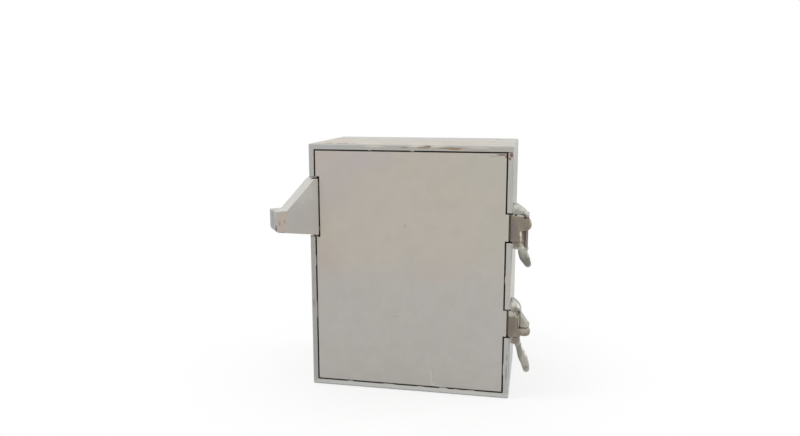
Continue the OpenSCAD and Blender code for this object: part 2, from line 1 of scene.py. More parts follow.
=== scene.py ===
"""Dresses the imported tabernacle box: thick old paint, cast hinges, slotted screws, weld beads,
a pale floor, soft light and the photograph's camera. Metres, in the row frame."""
import json
import math

import bmesh
import bpy
from mathutils import Matrix, Vector, noise
from mathutils.bvhtree import BVHTree


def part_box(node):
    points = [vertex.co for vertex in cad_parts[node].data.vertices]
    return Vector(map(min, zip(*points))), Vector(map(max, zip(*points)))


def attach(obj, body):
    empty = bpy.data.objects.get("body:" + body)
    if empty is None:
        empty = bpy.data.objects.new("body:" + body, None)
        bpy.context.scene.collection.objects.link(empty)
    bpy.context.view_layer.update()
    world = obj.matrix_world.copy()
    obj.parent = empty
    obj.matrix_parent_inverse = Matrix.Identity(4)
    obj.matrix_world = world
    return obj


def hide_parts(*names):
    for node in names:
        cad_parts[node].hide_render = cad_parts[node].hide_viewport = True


MM = 0.001
X, Y = 0, 1                     # the numbers of the axes

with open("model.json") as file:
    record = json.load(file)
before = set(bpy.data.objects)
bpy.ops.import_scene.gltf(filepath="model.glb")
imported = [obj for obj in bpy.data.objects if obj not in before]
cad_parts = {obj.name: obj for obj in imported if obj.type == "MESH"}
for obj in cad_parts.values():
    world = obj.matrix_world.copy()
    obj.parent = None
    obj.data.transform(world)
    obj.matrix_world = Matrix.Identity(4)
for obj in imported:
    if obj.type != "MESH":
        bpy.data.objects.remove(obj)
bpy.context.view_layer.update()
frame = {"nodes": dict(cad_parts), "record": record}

scene = bpy.context.scene
nodes = frame["nodes"]
record = frame["record"]
slot_of = {part["node"]: part["material_slot"] for part in record["subparts"]}
body_of = {node: body for body, members in record["behaviour"]["bodies"].items()
           for node in members}


# without a seed, noise_vector draws its offsets from the clock and no two runs are the same
noise.seed_set(1)


# ---------- mesh helpers ----------

MERGE = 1e-6                    # vertices closer than this are one, in metres
FLAT = math.radians(0.6)        # faces that meet at less than this make one flat face
SHARP = math.radians(35)        # edges sharper than this are softened
OUTER = 0.9                     # beyond this share of the half size a vertex is on that face
SEED_STEPS = (3.1, 7.7, 1.3)    # how far apart the noise of two seeds lies
HALF = Vector((0.5, 0.5, 0.5))

# wear of a casting near its mate: it starts at NEAR from it and is full FADE further out
NEAR, FADE, LEAST_WEAR = 0.6 * MM, 2 * MM, 0.08
KEPT_FACES = 0.4                # the share of a remeshed casting's faces that is kept


def linked(name, data):
    """A new object in the scene, for a mesh, a light or a camera."""
    obj = bpy.data.objects.new(name, data)
    scene.collection.objects.link(obj)
    return obj


def new_piece(name, mesh, body):
    """A new visible piece that rides on a body."""
    obj = linked(name, mesh)
    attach(obj, body)
    return obj


def unit(axis):
    """The unit vector along an axis."""
    return Vector([1 if i == axis else 0 for i in range(3)])


def extent(verts):
    """The lowest and the highest corner of some vertices."""
    lo = Vector([min(v.co[i] for v in verts) for i in range(3)])
    hi = Vector([max(v.co[i] for v in verts) for i in range(3)])
    return lo, hi


def merged(mesh):
    """A mesh as a bmesh, with its doubled vertices merged."""
    bm = bmesh.new()
    bm.from_mesh(mesh)
    bmesh.ops.remove_doubles(bm, verts=bm.verts, dist=MERGE)
    return bm


def cleaned(mesh):
    """A mesh as a bmesh, with its vertices merged and its flat faces whole."""
    bm = merged(mesh)
    bmesh.ops.dissolve_limit(bm, angle_limit=FLAT, verts=bm.verts, edges=bm.edges)
    return bm


def plain_mesh(bm, name):
    """Turns a bmesh into a mesh and frees it."""
    mesh = bpy.data.meshes.new(name)
    bm.to_mesh(mesh)
    bm.free()
    return mesh


def skinned(bm, rings, closed=True):
    """Adds the faces between each ring of vertices and the next."""
    for low, high in zip(rings, rings[1:]):
        count = len(low)
        for i in range(count if closed else count - 1):
            j = (i + 1) % count
            bm.faces.new((low[i], low[j], high[j], high[i]))


def applied(obj):
    """Bakes the object's modifiers into its mesh."""
    depsgraph = bpy.context.evaluated_depsgraph_get()
    mesh = bpy.data.meshes.new_from_object(obj.evaluated_get(depsgraph))
    obj.modifiers.clear()
    obj.data = mesh
    return obj


def boolean(obj, tool, operation):
    """Joins a tool to the object, or cuts it out, with a modifier."""
    made = obj.modifiers.new(tool.name, "BOOLEAN")
    made.operation, made.solver, made.object = operation, "EXACT", tool


def union(name, body, members):
    """One object in place of CAD nodes, joined where there are several."""
    obj = new_piece(name, plain_mesh(cleaned(nodes[members[0]].data), name), body)
    tools = []
    for member in members[1:]:
        tool = linked(member + "_tool", plain_mesh(cleaned(nodes[member].data), member))
        boolean(obj, tool, "UNION")
        tools.append(tool)
    applied(obj)
    for tool in tools:
        bpy.data.objects.remove(tool)
    obj.data = plain_mesh(cleaned(obj.data), name)
    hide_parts(*members)
    return obj


def soften(obj, width, segments=2):
    """Rounds the sharp edges with a modifier."""
    bevel = obj.modifiers.new("soft_edges", "BEVEL")
    bevel.width = width
    bevel.segments = segments
    bevel.limit_method = "ANGLE"
    bevel.angle_limit = SHARP
    return obj


def gridded(obj, step):
    """Cuts the mesh with planes a step apart along each axis, so that it can be bent."""
    bm = bmesh.new()
    bm.from_mesh(obj.data)
    lo, hi = extent(bm.verts)
    for axis in range(3):
        count = int((hi[axis] - lo[axis]) / step)
        for i in range(1, count + 1):
            at = unit(axis) * (lo[axis] + (hi[axis] - lo[axis]) * i / (count + 1))
            geom = bm.verts[:] + bm.edges[:] + bm.faces[:]
            bmesh.ops.bisect_plane(bm, geom=geom, plane_co=at, plane_no=unit(axis))
    bm.to_mesh(obj.data)
    bm.free()
    return obj


def hand_made(obj, depth, size, seed):
    """Lets the outer faces wander inwards by up to depth, over distances of about size."""
    away = Vector([seed * step for step in SEED_STEPS])
    lo, hi = extent(obj.data.vertices)
    middle, half = (lo + hi) / 2, (hi - lo) / 2
    for v in obj.data.vertices:
        wander = noise.noise_vector(v.co / size + away) * 0.5 + HALF
        for i in range(3):
            side = (v.co[i] - middle[i]) / half[i]
            if abs(side) > OUTER:
                v.co[i] -= math.copysign(depth * min(max(wander[i], 0), 1), side)
    return obj


def shaded(obj):
    """Shades every face smoothly."""
    for polygon in obj.data.polygons:
        polygon.use_smooth = True
    return obj


def smooth(obj, angle=40):
    """Shades smoothly but for the edges sharper than angle, in degrees, and the flat faces."""
    shaded(obj).data.set_sharp_from_angle(angle=math.radians(angle))
    weights = obj.modifiers.new("flat_faces", "WEIGHTED_NORMAL")
    weights.keep_sharp = True
    return obj


def near_mate(obj, mate):
    """A vertex group that is low where the mesh comes close to another CAD node."""
    group = obj.vertex_groups.new(name="worn")
    bm = cleaned(nodes[mate].data)
    tree = BVHTree.FromBMesh(bm)
    bm.free()
    for v in obj.data.vertices:
        away = tree.find_nearest(v.co)[3]
        group.add([v.index], min(max((away - NEAR) / FADE, LEAST_WEAR), 1), "REPLACE")
    return group.name


def cast(name, body, members, voxel, passes, lift, mate):
    """One soft-edged casting in place of CAD nodes: remeshed fine, worn smooth, and crisp
    where it faces its mate."""
    obj = union(name, body, members)
    remesh = obj.modifiers.new("remesh", "REMESH")
    remesh.mode, remesh.voxel_size, remesh.adaptivity = "VOXEL", voxel, 0
    applied(obj)
    worn = obj.modifiers.new("worn", "SMOOTH")
    worn.factor, worn.iterations = 0.5, passes
    if mate:
        worn.vertex_group = near_mate(obj, mate)
    full = obj.modifiers.new("full", "DISPLACE")
    full.strength, full.mid_level = lift, 0
    fewer = obj.modifiers.new("fewer", "DECIMATE")
    fewer.ratio = KEPT_FACES
    return shaded(applied(obj))


# ---------- material helpers ----------

MIX_FACTOR, MIX_A, MIX_B, MIX_RESULT = 0, 6, 7, 2     # a Mix node's sockets for colours
SPOT_GRAIN = 260                                      # the scale of the spots' ragged edges


class Paint:
    """Builds one material's node tree. Scales of noise are in waves per metre."""

    def __init__(self, name):
        self.material = bpy.data.materials.new(name)
        self.material.use_nodes = True
        self.tree = self.material.node_tree
        self.shader = self.tree.nodes["Principled BSDF"]
        self.at = self.add("ShaderNodeTexCoord").outputs["Object"]

    def add(self, kind, **settings):
        made = self.tree.nodes.new(kind)
        for key, value in settings.items():
            setattr(made, key, value)
        return made

    def plug(self, socket, value):
        """Links a socket to another, or sets its value."""
        if isinstance(value, bpy.types.NodeSocket):
            self.tree.links.new(value, socket)
        else:
            socket.default_value = value

    def math(self, operation, a, b=0.0, clamp=False):
        made = self.add("ShaderNodeMath", operation=operation, use_clamp=clamp)
        self.plug(made.inputs[0], a)
        self.plug(made.inputs[1], b)
        return made.outputs[0]

    def times(self, a, b):
        return self.math("MULTIPLY", a, b)

    def most(self, a, b):
        return self.math("MAXIMUM", a, b)

    def vector(self, operation, a, b=None):
        """A vector operation; LENGTH and DOT_PRODUCT give a value, the others a vector."""
        made = self.add("ShaderNodeVectorMath", operation=operation)
        self.plug(made.inputs[0], a)
        if b is not None:
            self.plug(made.inputs[1], b)
        return made.outputs["Value" if operation in ("LENGTH", "DOT_PRODUCT") else "Vector"]

    def ramp(self, value, low, high, out_low=0.0, out_high=1.0):
        """A soft step from out_low to out_high as the value goes from low to high."""
        made = self.add("ShaderNodeMapRange", interpolation_type="SMOOTHSTEP")
        for i, part in enumerate((value, low, high, out_low, out_high)):
            self.plug(made.inputs[i], part)
        return made.outputs[0]

    def mix(self, amount, a, b, blend="MIX"):
        made = self.add("ShaderNodeMix", data_type="RGBA", blend_type=blend)
        self.plug(made.inputs[MIX_FACTOR], amount)
        self.plug(made.inputs[MIX_A], a)
        self.plug(made.inputs[MIX_B], b)
        return made.outputs[MIX_RESULT]

    def noise(self, scale, detail=3.0, rough=0.5, stretch=None):
        """Soft noise from 0 to 1; stretch multiplies its scale along X, Y and Z."""
        at = self.at
        if stretch:
            mapping = self.add("ShaderNodeMapping")
            self.plug(mapping.inputs["Vector"], at)
            self.plug(mapping.inputs["Scale"], stretch)
            at = mapping.outputs[0]
        made = self.add("ShaderNodeTexNoise")
        for key, value in (("Vector", at), ("Scale", scale), ("Detail", detail),
                           ("Roughness", rough)):
            self.plug(made.inputs[key], value)
        return made.outputs["Fac"]

    def facing(self):
        """The direction that the surface faces."""
        return self.add("ShaderNodeNewGeometry").outputs["Normal"]

    def height(self, vector):
        made = self.add("ShaderNodeSeparateXYZ")
        self.plug(made.inputs[0], vector)
        return made.outputs["Z"]

    def edges(self, radius):
        """1 on convex and concave edges, 0 on flat faces."""
        bevel = self.add("ShaderNodeBevel", samples=4)
        self.plug(bevel.inputs["Radius"], radius)
        alike = self.vector("DOT_PRODUCT", bevel.outputs[0], self.facing())
        return self.ramp(alike, 0.98, 0.75)

    def corners(self, distance):
        """1 in the open, less in gaps and corners."""
        made = self.add("ShaderNodeAmbientOcclusion", samples=6)
        self.plug(made.inputs["Distance"], distance)
        return made.outputs["AO"]

    def spots(self, places, ragged=0.5, soft=0.2):
        """A mask of ragged spots. Each place is (centre, half sizes), in millimetres."""
        wobble = self.times(self.noise(SPOT_GRAIN, 3, 0.6), ragged * 2)
        outer, inner = 1 + soft + ragged, 1 - soft + ragged
        mask = 0.0
        for centre, half in places:
            off = self.vector("SUBTRACT", self.at, [c * MM for c in centre])
            share = self.vector("DIVIDE", off, [h * MM for h in half])
            far = self.math("ADD", self.vector("LENGTH", share), wobble)
            mask = self.most(mask, self.ramp(far, outer, inner))
        return mask

    def marked(self, colour, marks):
        """Lays marks over a colour, each (tone, strength, softness, places)."""
        for tone, strength, soft, places in marks:
            mask = self.spots(places, 0.4 + 0.5 * soft, soft)
            colour = self.mix(self.times(mask, strength), colour, tone)
        return colour

    def bump(self, heights):
        """Adds up [(height, distance in metres)] into the shader's normal."""
        normal = None
        for height, distance in heights:
            made = self.add("ShaderNodeBump")
            self.plug(made.inputs["Distance"], distance)
            self.plug(made.inputs["Height"], height)
            if normal:
                self.plug(made.inputs["Normal"], normal)
            normal = made.outputs[0]
        self.plug(self.shader.inputs["Normal"], normal)

    def finish(self, **inputs):
        """Sets the shader's inputs, such as Base_Color, and gives the material."""
        for key, value in inputs.items():
            self.plug(self.shader.inputs[key.replace("_", " ")], value)
        return self.material


def rgb(red, green, blue):
    """A linear colour from its 0-255 screen values."""
    def linear(c):
        c /= 255
        return c / 12.92 if c <= 0.04045 else ((c + 0.055) / 1.055) ** 2.4
    return (linear(red), linear(green), linear(blue), 1)


def patched(p, tones):
    """The main tone with broad warm and cool patches."""
    main, warm, cool = tones
    warm_patches = p.ramp(p.noise(5.5, 2, 0.5), 0.42, 0.66)
    cool_patches = p.ramp(p.noise(9, 3, 0.55, (1, 1, 0.6)), 0.48, 0.72, 0, 0.8)
    return p.mix(cool_patches, p.mix(warm_patches, main, warm), cool)


def grimed_and_shaded(p, colour):
    """Paint with a fine mottle, small specks, and grime with painted shade in its corners."""
    mottle = p.ramp(p.noise(60, 4, 0.6), 0.3, 0.7, 0.975, 1.02)
    colour = p.mix(1.0, colour, mottle, "MULTIPLY")
    # darker in corners: grime and painted shade
    in_corners = p.ramp(p.corners(4 * MM), 0.4, 0.9, 0.6, 0)
    patchy = p.ramp(p.noise(45), 0.3, 0.6, 0.25, 1)
    specks = p.ramp(p.noise(330, 2, 0.5), 0.72, 0.78, 0, 0.35)
    return p.mix(p.most(p.times(in_corners, patchy), specks), colour, STAIN_AND_SHADE)


def chipped_off(p, edge_wear, chips):
    """A mask of the places without paint: along the edges, and the given chips."""
    patchy = p.ramp(p.noise(75, 5, 0.65), 0.62, 0.69, 0, edge_wear)
    mask = p.times(p.edges(1.2 * MM), patchy)
    if chips:
        mask = p.most(mask, p.spots(chips, 0.9))
    return mask


def under_paint(p):
    """What shows where paint is chipped off: dark iron, rust and primer."""
    iron = p.mix(p.ramp(p.noise(400, 3), 0.4, 0.6), DARK_IRON, RUST)
    return p.mix(p.ramp(p.noise(170, 2), 0.45, 0.6), iron, PRIMER)


def painted(name, tones, edge_wear, chips=(), marks=(), low_tone=None, lit_top_tone=None):
    """Thick old oil paint on steel. tones are the main, the warm and the cool colour."""
    p = Paint(name)
    colour = patched(p, tones)
    if low_tone:
        wavy_height = p.math("ADD", p.height(p.at), p.times(p.noise(9, 3), 0.09))
        colour = p.mix(p.ramp(wavy_height, 0.27, 0.19, 0, 0.85), colour, low_tone)
    # faces that point up are painted lighter: painted light from above
    if lit_top_tone:
        lit_from_above = p.ramp(p.height(p.facing()), 0.3, 0.6, 0, 0.85)
        colour = p.mix(lit_from_above, colour, lit_top_tone)
    colour = p.marked(grimed_and_shaded(p, colour), marks)
    # painted shade: deep in gaps and corners the paint is darkened to a near black
    painted_gap_shade = p.ramp(p.corners(20 * MM), 0.12, 0.34, 0.9, 0)
    chipped = chipped_off(p, edge_wear, chips)
    colour = p.mix(chipped, p.mix(painted_gap_shade, colour, GAP_SHADE), under_paint(p))
    rough = p.ramp(p.noise(50, 3), 0.3, 0.7, 0.42, 0.6)
    rough = p.math("ADD", rough, p.times(chipped, 0.25), clamp=True)
    waves = p.noise(38, 3, 0.5)
    strokes = p.noise(130, 3, 0.6, (1, 1, 0.06))
    grain = p.noise(700, 2)
    paint_left = p.math("SUBTRACT", 1.0, chipped)
    p.bump([(waves, 0.45 * MM), (strokes, 0.1 * MM), (grain, 0.05 * MM), (paint_left, 0.35 * MM)])
    return p.finish(Base_Color=colour, Roughness=rough, Coat_Weight=0.12, Coat_Roughness=0.25)


def cast_iron(name, tones, stain_and_shade, rubbed_highlight, marks):
    """Painted cast iron, worn through where it is handled, lighter on its edges with worn paint and
    painted highlight, and darker in its corners with grime and painted shade.
    """
    p = Paint(name)
    paint, worn_tone, olive = tones
    worn_patches = p.ramp(p.noise(55, 4, 0.6), 0.40, 0.62)
    olive_patches = p.ramp(p.noise(110, 3, 0.6), 0.45, 0.65, 0, 0.8)
    colour = p.mix(olive_patches, p.mix(worn_patches, paint, worn_tone), olive)
    # lighter on the edges: worn paint and painted highlight
    on_edges = p.ramp(p.edges(1.6 * MM), 0.2, 0.9, 0, 0.5)
    rubbed_highlight_mask = p.times(on_edges, p.ramp(p.noise(60), 0.4, 0.6))
    colour = p.marked(p.mix(rubbed_highlight_mask, colour, rubbed_highlight), marks)
    # darker in corners: grime and painted shade, with small pits
    grime_and_shade = p.ramp(p.corners(2.5 * MM), 0.2, 0.6, 0.35, 0)
    pits = p.times(p.ramp(p.noise(420, 3, 0.6), 0.32, 0.44, 1, 0), 0.45)
    colour = p.mix(p.most(grime_and_shade, pits), colour, stain_and_shade)
    rough = p.ramp(p.noise(120, 3), 0.3, 0.7, 0.36, 0.6)
    p.bump([(p.noise(90, 3, 0.55), 0.7 * MM), (p.noise(420, 3, 0.6), 0.2 * MM)])
    return p.finish(Base_Color=colour, Roughness=rough, Coat_Weight=0.15, Coat_Roughness=0.2)


def old_steel(name, tone, rusty, rust_amount):
    """Dull steel with a little rust and fine scratches along it."""
    p = Paint(name)
    darker = tuple(c * 0.7 for c in tone[:3]) + (1,)
    colour = p.mix(p.noise(220, 4, 0.6), tone, darker)
    patches = p.ramp(p.noise(160, 4, 0.65), 0.62 - rust_amount, 0.75 - rust_amount)
    rust = p.most(patches, p.ramp(p.corners(3 * MM), 0.5, 0.9, 0.8, 0))
    scratches = p.noise(900, 2, 0.5, (1, 1, 0.05))
    p.bump([(p.noise(300, 3), 0.08 * MM), (scratches, 0.03 * MM)])
    return p.finish(Base_Color=p.mix(rust, colour, rusty),
                    Roughness=p.ramp(rust, 0, 1, 0.38, 0.75),
                    Metallic=p.ramp(rust, 0, 1, 0.85, 0.1))


def dress(obj, material):
    """Gives the whole object one material, and leaves a CAD node's slots in place."""
    if not obj.material_slots:
        obj.data.materials.append(material)
    for slot in obj.material_slots:
        slot.material = material
    return obj


# ---------- colours ----------

# main, warm and cool, or paint, worn and olive
CASE = (rgb(177, 176, 171), rgb(181, 175, 165), rgb(173, 175, 174))
DOOR = (rgb(182, 175, 164), rgb(184, 176, 162), rgb(180, 172, 168))
LEVER = (rgb(177, 173, 168), rgb(181, 175, 166), rgb(171, 172, 169))
BRACKET = (rgb(166, 164, 154), rgb(146, 142, 130), rgb(150, 150, 134))
LEAF = (rgb(134, 124, 107), rgb(117, 107, 92), rgb(129, 121, 97))

DOOR_LOW = rgb(176, 173, 168)
# painted light on the lever's upward faces
LEVER_LIT_TOP = rgb(202, 200, 194)
# for each casting: stain with painted shade in its corners, and rubbed edges with painted highlight
BRACKET_STAIN_AND_SHADE, BRACKET_RUBBED_HIGHLIGHT = rgb(104, 97, 84), rgb(206, 201, 188)
LEAF_STAIN_AND_SHADE, LEAF_RUBBED_HIGHLIGHT = rgb(84, 73, 60), rgb(170, 160, 142)
PIN_STEEL, PIN_RUST = rgb(138, 126, 122), rgb(104, 82, 70)
SCREW_STEEL, SCREW_RUST = rgb(150, 146, 140), rgb(104, 76, 56)
FLOOR_WHITE = rgb(250, 250, 250)

RUST = rgb(118, 72, 48)
DARK_IRON = rgb(74, 66, 58)
PRIMER = rgb(150, 128, 104)
# painted shade for the deep gaps round the door
GAP_SHADE = rgb(44, 40, 36)
# brown-grey for specks of dirt, and for grime with painted shade in corners
STAIN_AND_SHADE = rgb(112, 100, 86)

# the marks' tones
GREY_MARK = rgb(128, 125, 121)
BROWN_MARK = rgb(134, 112, 84)
RED_RUST = rgb(104, 62, 56)
# painted highlight, on the case's top edge and the castings' lit edges
CREAM_HIGHLIGHT = rgb(222, 214, 196)
# painted highlight on the fingers' and a shoulder's lit edges
PALE_HIGHLIGHT = rgb(226, 226, 218)
WARM_TOP = rgb(178, 168, 154)
TOP_CHIP = rgb(74, 70, 65)
TOP_EDGE = rgb(164, 163, 158)
LEFT_EDGE_LOW = rgb(154, 152, 150)
LEFT_EDGE_HIGH = rgb(168, 170, 171)
FOOT_EDGE = rgb(204, 205, 202)
SIDE_SHADE = rgb(146, 147, 148)
# a dark line along the right side's back edge: grime and painted shade
BACK_LINE = rgb(104, 108, 112)
DOOR_ROSE = rgb(180, 170, 170)
DOOR_OLIVE = rgb(178, 176, 165)
DOOR_TAN = rgb(182, 170, 160)
# painted highlight along the crease
CREASE_HIGHLIGHT = rgb(204, 203, 197)
TAN = rgb(188, 172, 159)
GRIP_SHADE = rgb(139, 142, 138)
GRIP_STAIN = rgb(96, 84, 70)
# painted highlight on the lever's sloping upper part
LEVER_HIGHLIGHT = rgb(196, 193, 187)
CASTING_GREY = rgb(196, 194, 187)
NOSE_CREAM = rgb(172, 164, 152)
KNUCKLE_UPPER = rgb(146, 139, 124)
# painted shade slanting across the lower nose
LOWER_NOSE_SHADE = rgb(142, 135, 122)
# painted highlight along the lower shoulder's slanting edge
SLANT_HIGHLIGHT = rgb(186, 178, 160)
# painted highlight on the tops of the shoulders
TOP_HIGHLIGHT = rgb(210, 210, 202)
TAIL_SHADE = rgb(102, 99, 92)
FINGER_GREY = rgb(166, 164, 157)
HOLLOW_SHADE = rgb(118, 114, 104)
LEAF_BROWN = rgb(117, 107, 96)
LEAF_MAUVE = rgb(114, 103, 98)
LEAF_SHADE = rgb(104, 95, 89)


# ---------- chips and marks ----------

# Places are (centre, half sizes) and marks (tone, strength, softness, places), in millimetres.

UPPER, LOWER = 256, 115         # the heights of the two hinges

CASE_CHIPS = [
    ((-128, -78, 372), (2, 4, 3)), ((28, -91.4, 370), (5, 3, 1.3)), ((118, 60, 372), (5, 3, 2)),
    ((-150, 40, 371), (2, 7, 2)), ((150, -20, 371), (2, 5, 2)), ((-110, 92, 370), (6, 2, 2)),
    ((90, 92, 8), (8, 2, 3)), ((-150, -40, 2), (2, 8, 2)), ((150, 66, 60), (2, 3, 5)),
]
CASE_MARKS = [
    (WARM_TOP, 0.65, 0.5, [((-20, -40, 372), (140, 70, 3)), ((60, -92, 366), (90, 4, 3))]),
    (LEFT_EDGE_LOW, 0.8, 0.5, [((-146, -92, 100), (6, 4, 130))]),
    (LEFT_EDGE_HIGH, 0.7, 0.5, [((-146, -92, 310), (6, 3, 70)), ((-120, -92, 369), (50, 3, 5))]),
    (TOP_EDGE, 0.7, 0.5, [((30, -92, 369), (130, 3, 5))]),
    (FOOT_EDGE, 0.7, 0.4, [((0, -92, 3.5), (165, 4, 6))]),
    (SIDE_SHADE, 0.7, 0.5, [((150, 10, 330), (3, 110, 50))]),
    # a dark line along the right side's back edge: grime and painted shade
    (BACK_LINE, 0.8, 0.4, [((150, 90, 318), (3, 4, 34)), ((150, 90, 205), (3, 3.5, 40)),
                           ((150, 90, 60), (3, 3, 26))]),
    (TOP_CHIP, 0.9, 0.3, [((-121, -77, 372), (4, 8, 4)), ((-105, -75, 372), (8, 6, 4)),
                          ((-98, -72, 372), (5, 8, 4)), ((-86, -71, 372), (5, 5.5, 4))]),
    # painted highlights along the rounded top edge
    (CREAM_HIGHLIGHT, 0.5, 0.3, [((10, -92, 370), (9, 3, 1.2)), ((42, -92, 370), (12, 3, 1)),
                            ((-50, -92, 369), (14, 3, 1)), ((100, -92, 369), (14, 3, 1))]),
    (BROWN_MARK, 0.9, 0.25, [((22, -92, 368.2), (10, 3, 1)), ((60, -92, 368), (17, 3, 1.2)),
                             ((66, -92, 366.4), (9, 3, 0.8)), ((-6, -92, 368), (5, 3, 0.7)),
                             ((60, 92, 250), (4, 2, 2.5)), ((-40, 10, 372), (16, 1.4, 2))]),
    (GREY_MARK, 0.8, 0.3, [((146.5, -92, 63), (1, 2, 5)), ((-146, -92, 130), (1.5, 2, 6)),
                           ((146, -92, 40), (1, 2, 14))]),
    (RED_RUST, 0.9, 0.3, [((146, -92, 359.5), (2.6, 3, 3.4)), ((140, -92, 363.2), (8, 3, 0.8)),
                          ((144, -92, 354.5), (1.5, 3, 2)), ((-100, 92, 56), (5, 2, 8)),
                          ((100, 92, 316), (4, 2, 7))]),
]
DOOR_MARKS = [
    (DOOR_ROSE, 0.5, 0.6, [((-118, -92, 320), (30, 4, 46)), ((-60, -92, 350), (40, 4, 14))]),
    (DOOR_OLIVE, 0.6, 0.6, [((112, -92, 338), (28, 4, 24)), ((120, -92, 240), (16, 4, 40))]),
    (DOOR_TAN, 0.5, 0.6, [((40, -92, 190), (34, 4, 16)), ((-120, -92, 200), (18, 4, 30))]),
    (GREY_MARK, 0.35, 0.3, [((-4.6, -92, 254), (1.2, 3, 4)), ((-20, -92, 116), (6, 3, 0.7)),
                            ((122, -92, 357.5), (8, 3, 1.2))]),
    # painted highlight where the crease catches the light
    (CREASE_HIGHLIGHT, 0.4, 0.6, [((35.2, -92, 27), (1.4, 3, 9)), ((38, -92, 15), (3.5, 3, 3.5)),
                              ((44, -92, 11.5), (6, 3, 1.6))]),
    (RED_RUST, 0.85, 0.3, [((133, -92, 359.8), (6.5, 3, 1.3)), ((139, -92, 357.6), (1.6, 3, 2.4))]),
]
LEVER_MARKS = [
    (TAN, 0.8, 0.5, [((-179.6, -124, 258), (6, 8, 14)), ((-178, -122, 272), (6, 8, 3))]),
    (GRIP_SHADE, 0.85, 0.4, [((-200, -118, 258), (13, 14, 20))]),
    # painted highlight on the lever's sloping upper part
    (LEVER_HIGHLIGHT, 0.7, 0.7, [((-156, -110, 304), (16, 32, 18))]),
    (BROWN_MARK, 0.5, 0.5, [((-177.6, -122.5, 260), (1.8, 2, 2.8)),
                            ((-183.6, -127, 258), (1, 3, 4))]),
    (GRIP_STAIN, 0.9, 0.3, [((-188.6, -130, 248), (1.3, 2, 7)),
                            ((-183, -127, 243.5), (8, 6, 0.7))]),
]
HINGE_MARKS = [
    (LEAF_BROWN, 0.95, 0.3, [((154, -86, UPPER - 23), (6.5, 16, 6)),
                             ((157.5, -86, LOWER - 24), (5.5, 16, 6))]),
    (NOSE_CREAM, 0.85, 0.4, [((171, -90, LOWER - 5), (7, 8, 7))]),
    (KNUCKLE_UPPER, 0.7, 0.4, [((164, -90, UPPER - 6), (5, 8, 5))]),
    # painted shade slanting across the lower nose
    (LOWER_NOSE_SHADE, 0.6, 0.6, [((165.5, -88, LOWER + 3), (4.5, 8, 9))]),
    (CASTING_GREY, 0.7, 0.3, [((151, -90, LOWER + 16), (6, 4, 5)),
                              ((160, -90, UPPER + 19), (10, 4, 2))]),
    # painted highlights on the leaves' lit edges
    (CREAM_HIGHLIGHT, 0.85, 0.3, [((162, -84, UPPER - 16), (1.5, 8, 9)),
                             ((165, -84, UPPER - 25), (1.6, 8, 6)),
                             ((161.5, -91, UPPER - 8), (1.2, 4, 4))]),
    # painted highlight along the lower shoulder's slanting edge
    (SLANT_HIGHLIGHT, 0.8, 0.5, [((153.6, -91, LOWER + 18.5), (1.5, 4, 1.3)),
                             ((155.6, -91, LOWER + 16), (1.5, 4, 1.5)),
                             ((157.6, -91, LOWER + 13.5), (1.5, 4, 1.5)),
                             ((159.6, -91, LOWER + 11), (1.5, 4, 1.5))]),
    # painted highlight on the tops of the shoulders
    (TOP_HIGHLIGHT, 0.85, 0.5, [((154, -88, UPPER + 31), (6, 8, 3)),
                            ((163, -87, UPPER + 27), (5, 8, 2.5)),
                            ((170, -86, UPPER + 22), (4, 8, 2.5)),
                            ((154, -88, LOWER + 30), (5, 8, 4))]),
    # painted highlights along the fingers' right edges and on a shoulder
    (PALE_HIGHLIGHT, 0.9, 0.3, [((165.5, -80, LOWER - 22), (1.8, 9, 8)),
                      ((168.6, -80, LOWER - 34), (2, 9, 8)),
                      ((173, -80, LOWER - 46), (1.8, 9, 9)),
                      ((173, -80, UPPER - 39), (1.4, 9, 4)),
                      ((161, -88, LOWER + 29), (3, 6, 6))]),
    (TAIL_SHADE, 0.9, 0.6, [((170, -88, UPPER - 48), (9, 9, 9))]),
    (FINGER_GREY, 0.6, 0.5, [((174, -88, LOWER - 62), (6, 9, 12))]),
    (HOLLOW_SHADE, 0.7, 0.4, [((161, -90, UPPER - 42), (4, 9, 9)),
                              ((164, -90, LOWER - 44), (4, 9, 12)),
                              ((174, -90, LOWER - 66), (4, 9, 3)),
                              ((158, -90, LOWER + 22), (4, 4, 3))]),
]
LEAF_MARKS = [
    (LEAF_SHADE, 0.8, 0.6, [((152, -91, LOWER - 2), (5, 6, 15)),
                            ((149.5, -91, UPPER - 4), (3, 6, 16))]),
    (LEAF_MAUVE, 0.9, 0.4, [((152.5, -91, UPPER - 2), (4, 6, 16))]),
    (LEAF_MAUVE, 0.4, 0.4, [((167, -90, UPPER + 5), (4, 6, 5))]),
] + HINGE_MARKS


# ---------- materials ----------

FINISHES = {
    "case_paint": painted("case_paint", CASE, 0.5, CASE_CHIPS, CASE_MARKS),
    "door_paint": painted("door_paint", DOOR, 0.35, marks=DOOR_MARKS, low_tone=DOOR_LOW),
    "lever_paint": painted("lever_paint", LEVER, 0.5, marks=LEVER_MARKS, lit_top_tone=LEVER_LIT_TOP),
    "bracket_paint": cast_iron("bracket_paint", BRACKET, BRACKET_STAIN_AND_SHADE, BRACKET_RUBBED_HIGHLIGHT,
                               HINGE_MARKS),
    "hinge_iron": cast_iron("leaf_iron", LEAF, LEAF_STAIN_AND_SHADE, LEAF_RUBBED_HIGHLIGHT, LEAF_MARKS),
    "pin_steel": old_steel("pin_steel", PIN_STEEL, PIN_RUST, 0.05),
    "screw_steel": old_steel("screw_steel", SCREW_STEEL, SCREW_RUST, 0.1),
}
for node, slot_name in slot_of.items():
    dress(nodes[node], FINISHES[slot_name])


def slotted_as(obj, slot_name):
    """Gives a new piece the material of a record slot."""
    return dress(obj, FINISHES[slot_name])


# ---------- plates, bars and castings ----------

WANDER_SIZE = 60 * MM           # how long the waves in a plate's faces are

